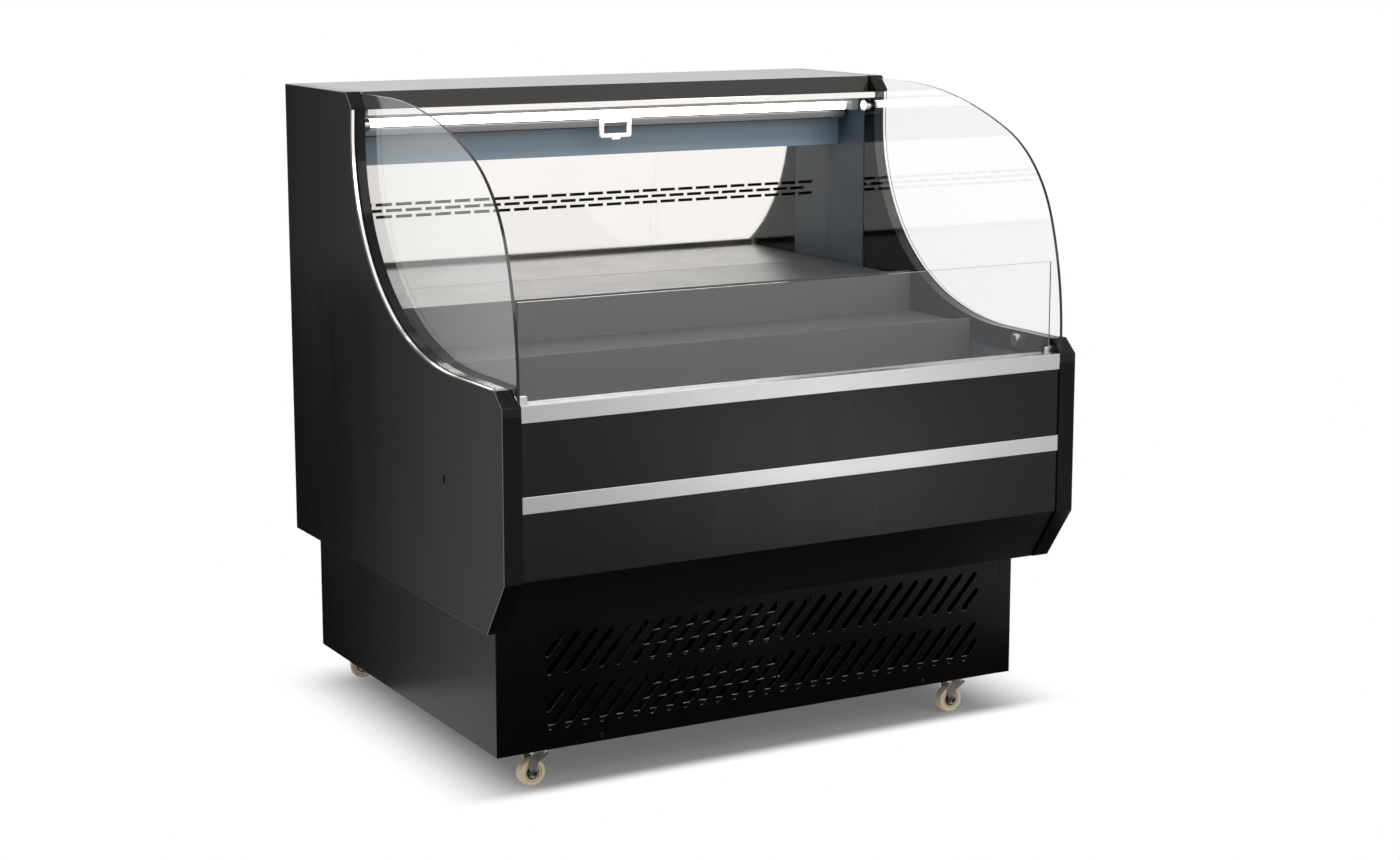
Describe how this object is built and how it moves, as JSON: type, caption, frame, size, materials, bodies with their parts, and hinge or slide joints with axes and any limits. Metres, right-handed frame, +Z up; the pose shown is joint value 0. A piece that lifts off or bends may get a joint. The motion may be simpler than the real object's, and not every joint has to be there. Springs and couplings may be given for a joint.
{
  "type": "open multideck display fridge",
  "caption": "Open-front refrigerated merchandiser on swivel casters, with swept end glass, stepped decks, a low front pane and a pull-down night blind.",
  "frame": {"origin": "on the floor under the centre of the cabinet's outline", "axes": "+X to the shopper's right along the front, +Y from the shopper to the rear, +Z up"},
  "size_m": [1.2, 1, 1.222],
  "materials": {
    "panel_black": "satin",
    "rim_polished": "polished",
    "cap_black": "satin",
    "glass": "clear",
    "fixing_steel": "polished",
    "trim_brushed": "brushed",
    "front_black": "satin",
    "skirt_black": "satin",
    "tub_slate": "satin",
    "liner_slate": "satin",
    "canopy_grey": "satin",
    "fascia_black": "gloss",
    "honeycomb_grey": "matte",
    "lamp_white": "frosted",
    "holder_white": "satin",
    "blind_grey": "satin",
    "blind_fabric": "woven",
    "handle_white": "gloss",
    "wall_polished": "polished",
    "deck_grey": "satin",
    "coil_aluminium": "mill",
    "galvanised": "galvanised",
    "fan_black": "matte",
    "base_black": "textured",
    "compressor_black": "gloss",
    "pipe_copper": "drawn",
    "control_grey": "matte",
    "rocker_black": "gloss",
    "caster_zinc": "zinc plated",
    "wheel_rubber": "matte",
    "fastener_black": "satin"
  },
  "bodies": {
    "cabinet": {"side_panel_left": "panel_black", "side_panel_right": "panel_black", "side_rims": "rim_polished", "panel_end_caps": "cap_black", "end_glass_left": "glass", "end_glass_right": "glass", "glass_fixings": "fixing_steel", "front_glass": "glass", "front_top_trim": "trim_brushed", "front_mid_trim": "trim_brushed", "front_panel_upper": "front_black", "front_panel_lower": "front_black", "front_skirt": "skirt_black", "insulated_tub": "tub_slate", "side_liners": "liner_slate", "rear_outer_panel": "panel_black", "canopy_top": "canopy_grey", "canopy_fascia": "fascia_black", "canopy_rail": "rim_polished", "canopy_liner": "liner_slate", "air_honeycomb": "honeycomb_grey", "led_tube": "lamp_white", "led_holder": "holder_white", "blind_cassette": "blind_grey", "blind_cloth": "blind_fabric", "rear_inner_wall": "wall_polished", "deck_front": "deck_grey", "deck_middle": "deck_grey", "deck_rear": "deck_grey", "deck_supports": "deck_grey", "return_air_grille": "deck_grey", "evaporator_coil": "coil_aluminium", "evaporator_fan_baffle": "galvanised", "base_chassis": "base_black", "base_side_panels": "base_black", "base_front_grille": "base_black", "base_rear_grille": "base_black", "compressor": "compressor_black", "condenser_coil": "coil_aluminium", "condenser_fan_shroud": "galvanised", "refrigerant_pipes": "pipe_copper", "drain_tray": "galvanised", "control_box": "control_grey", "caster_plates": "caster_zinc", "panel_fasteners": "fastener_black"},
    "condenser_fan": {"condenser_fan_blades": "fan_black"},
    "evaporator_fan_left": {"evaporator_fan_left": "fan_black"},
    "evaporator_fan_right": {"evaporator_fan_right": "fan_black"},
    "blind_pull": {"blind_bar": "blind_grey", "blind_handle": "handle_white"},
    "blind_roller": {"blind_roller": "blind_grey"},
    "switch_rocker": {"power_switch": "rocker_black"},
    "caster_fork_front_left": {"caster_fork_front_left": "caster_zinc"},
    "caster_wheel_front_left": {"caster_wheel_front_left": "wheel_rubber"},
    "caster_fork_front_right": {"caster_fork_front_right": "caster_zinc"},
    "caster_wheel_front_right": {"caster_wheel_front_right": "wheel_rubber"},
    "caster_fork_rear_left": {"caster_fork_rear_left": "caster_zinc"},
    "caster_wheel_rear_left": {"caster_wheel_rear_left": "wheel_rubber"},
    "caster_fork_rear_right": {"caster_fork_rear_right": "caster_zinc"},
    "caster_wheel_rear_right": {"caster_wheel_rear_right": "wheel_rubber"}
  },
  "joints": [
    {"name": "caster_swivel_front_left", "type": "hinge", "parent": "cabinet", "child": "caster_fork_front_left", "pos_m": [-0.456, -0.323, 0.06], "axis": [0, 0, 1], "continuous": true},
    {"name": "wheel_spin_front_left", "type": "hinge", "parent": "caster_fork_front_left", "child": "caster_wheel_front_left", "pos_m": [-0.47, -0.323, 0.025], "axis": [0, -1, 0], "continuous": true},
    {"name": "caster_swivel_front_right", "type": "hinge", "parent": "cabinet", "child": "caster_fork_front_right", "pos_m": [0.456, -0.323, 0.06], "axis": [0, 0, 1], "continuous": true},
    {"name": "wheel_spin_front_right", "type": "hinge", "parent": "caster_fork_front_right", "child": "caster_wheel_front_right", "pos_m": [0.442, -0.323, 0.025], "axis": [0, -1, 0], "continuous": true},
    {"name": "caster_swivel_rear_left", "type": "hinge", "parent": "cabinet", "child": "caster_fork_rear_left", "pos_m": [-0.466, 0.457, 0.06], "axis": [0, 0, 1], "continuous": true},
    {"name": "wheel_spin_rear_left", "type": "hinge", "parent": "caster_fork_rear_left", "child": "caster_wheel_rear_left", "pos_m": [-0.47916, 0.46179, 0.025], "axis": [-0.342, -0.9397, 0], "continuous": true},
    {"name": "caster_swivel_rear_right", "type": "hinge", "parent": "cabinet", "child": "caster_fork_rear_right", "pos_m": [0.466, 0.457, 0.06], "axis": [0, 0, 1], "continuous": true},
    {"name": "wheel_spin_rear_right", "type": "hinge", "parent": "caster_fork_rear_right", "child": "caster_wheel_rear_right", "pos_m": [0.47916, 0.46179, 0.025], "axis": [-0.342, 0.9397, 0], "continuous": true},
    {"name": "condenser_fan_spin", "type": "hinge", "parent": "cabinet", "child": "condenser_fan", "pos_m": [-0.105, -0.281, 0.186], "axis": [0, 1, 0], "continuous": true},
    {"name": "evaporator_fan_left_spin", "type": "hinge", "parent": "cabinet", "child": "evaporator_fan_left", "pos_m": [-0.24, -0.118, 0.5], "axis": [0, 1, 0], "continuous": true},
    {"name": "evaporator_fan_right_spin", "type": "hinge", "parent": "cabinet", "child": "evaporator_fan_right", "pos_m": [0.24, -0.118, 0.5], "axis": [0, 1, 0], "continuous": true},
    {"name": "blind_pull", "type": "slide", "parent": "cabinet", "child": "blind_pull", "axis": [0, -0.9496, -0.3134], "range_m": [0, 0.7276], "stiffness_N_per_m": 20, "springref_m": -0.5},
    {"name": "blind_roller_spin", "type": "hinge", "parent": "cabinet", "child": "blind_roller", "pos_m": [0, 0.263, 1.167], "axis": [1, 0, 0], "range_deg": [0, 3210]},
    {"name": "switch_rock", "type": "hinge", "parent": "cabinet", "child": "switch_rocker", "pos_m": [-0.43, 0.484, 0.25], "axis": [1, 0, 0], "range_deg": [-8, 8]}
  ],
  "couplings": [
    {"joint": "blind_roller_spin", "follows": "blind_pull", "rad_per_m": 76.923}
  ]
}
